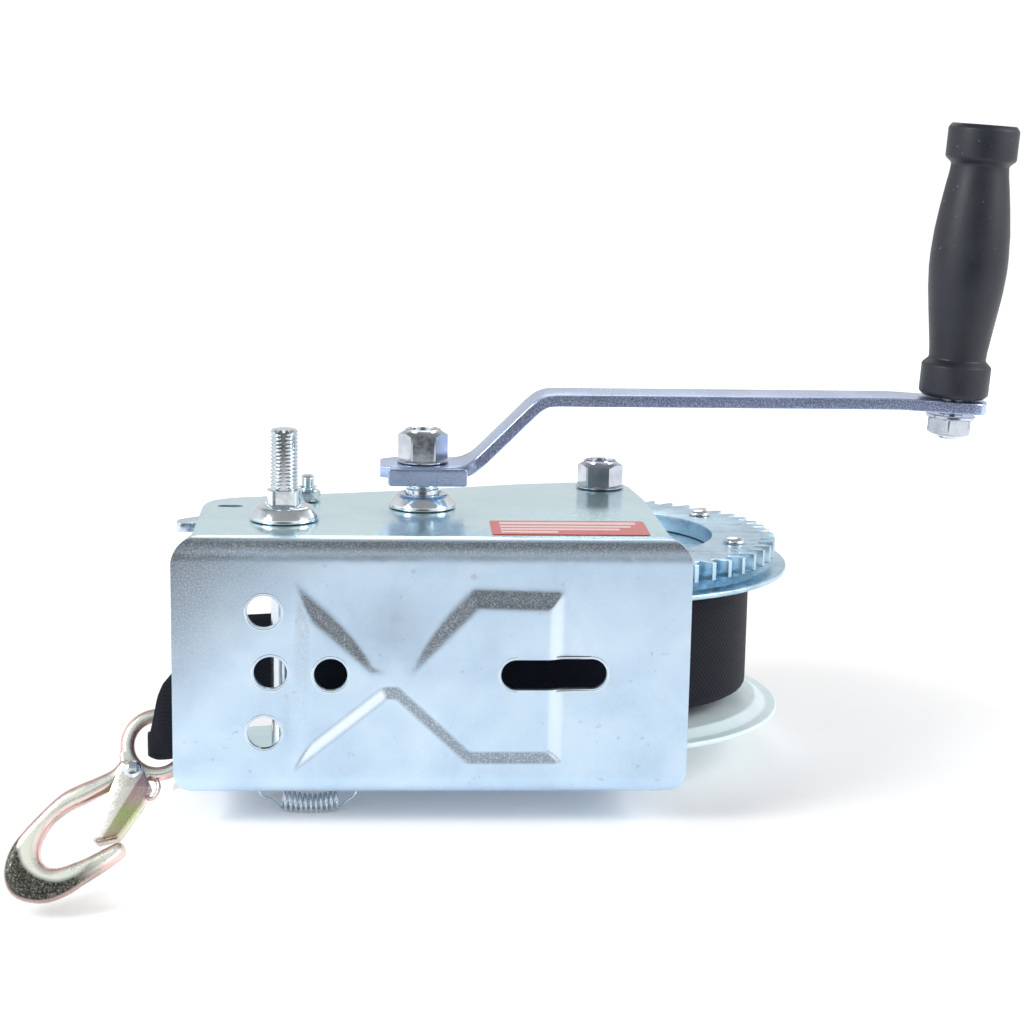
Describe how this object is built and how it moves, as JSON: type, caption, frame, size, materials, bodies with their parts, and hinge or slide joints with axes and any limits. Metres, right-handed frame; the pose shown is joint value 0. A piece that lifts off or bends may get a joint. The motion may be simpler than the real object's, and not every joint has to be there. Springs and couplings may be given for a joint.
{
  "type": "boat trailer winch",
  "caption": "Two-speed hand winch: folded steel frame, geared drum with wound webbing, detachable crank with spinning grip, ratchet pawl and a snap hook on a strap.",
  "frame": {"origin": "on the base plate's raised stamped panel, the face that bears on the trailer bracket, 112 mm from its left edge and 53.5 mm above its lower edge", "axes": "+X along the base plate towards the drum, +Y away from the mounting face into the winch, +Z across the two side plates towards the crank side"},
  "size_m": [0.4367, 0.212, 0.3388],
  "materials": {
    "zinc": "bright blue-white zinc plate",
    "yellow_zinc": "yellow iridescent zinc plate",
    "webbing": "woven polyester webbing",
    "grip_plastic": "fine moulded texture",
    "sticker": "printed sticker"
  },
  "bodies": {
    "winch_frame": {"frame": "zinc", "crank_bushing_top": "zinc", "crank_bushing_bottom": "zinc", "low_bushing_top": "zinc", "low_bushing_bottom": "zinc", "label": "sticker", "pawl_spring": "zinc", "drum_bolt": "zinc", "drum_nut": "zinc", "drum_spacer_top": "zinc", "drum_spacer_bottom": "zinc", "pawl_bolt": "zinc", "pawl_nut": "zinc", "pawl_washer": "zinc", "strap_tail": "webbing"},
    "drum": {"drum_hub": "zinc", "drum_core": "zinc", "drum_flange_top": "zinc", "drum_flange_bottom": "zinc", "drum_gear": "zinc", "drum_rivet_1": "zinc", "drum_rivet_2": "zinc", "drum_rivet_3": "zinc", "drum_rivet_4": "zinc", "drum_rivet_5": "zinc", "drum_rivet_6": "zinc", "strap_roll": "webbing"},
    "crank": {"crank_shaft": "zinc", "crank_pinion": "zinc", "crank_wheel": "zinc", "crank_arm": "zinc", "crank_nut": "zinc", "grip_bolt": "zinc", "grip_nut": "zinc"},
    "low_gear": {"low_shaft": "zinc", "low_pinion": "zinc", "low_ratchet": "zinc"},
    "pawl_lever": {"pawl": "zinc"},
    "handle": {"grip": "grip_plastic", "grip_cap": "grip_plastic"},
    "snap_hook": {"hook": "yellow_zinc", "hook_latch_pin": "yellow_zinc"},
    "latch": {"hook_latch": "yellow_zinc"}
  },
  "joints": [
    {"name": "crank_spin", "type": "hinge", "parent": "winch_frame", "child": "crank", "pos_m": [-0.00826, 0.07392, 0], "axis": [0, 0, 1], "continuous": true},
    {"name": "drum_spin", "type": "hinge", "parent": "winch_frame", "child": "drum", "pos_m": [0.0754, 0.12418, 0], "axis": [0, 0, 1], "continuous": true},
    {"name": "low_gear_spin", "type": "hinge", "parent": "winch_frame", "child": "low_gear", "pos_m": [-0.0676, 0.04408, 0], "axis": [0, 0, 1], "continuous": true},
    {"name": "grip_spin", "type": "hinge", "parent": "crank", "child": "handle", "pos_m": [0.2266, 0.07392, 0.1075], "axis": [0.061, 0, 0.9981], "continuous": true},
    {"name": "pawl_pivot", "type": "hinge", "parent": "winch_frame", "child": "pawl_lever", "pos_m": [-0.0592, 0.08598, 0.0501], "axis": [0, 0, 1], "range_deg": [0, 9.5]},
    {"name": "hook_swing", "type": "hinge", "parent": "winch_frame", "child": "snap_hook", "pos_m": [-0.1244, 0.05998, -0.0488], "axis": [1, 0, 0], "range_deg": [-5, 30]},
    {"name": "latch_pivot", "type": "hinge", "parent": "snap_hook", "child": "latch", "pos_m": [-0.1342, 0.05383, -0.05945], "axis": [0, 0.866, -0.5], "range_deg": [0, 25], "stiffness_Nm_per_rad": 0.05, "springref_deg": -20.05}
  ],
  "couplings": [
    {"joint": "drum_spin", "follows": "crank_spin", "ratio": -0.22642},
    {"joint": "low_gear_spin", "follows": "crank_spin", "ratio": -1.75}
  ]
}
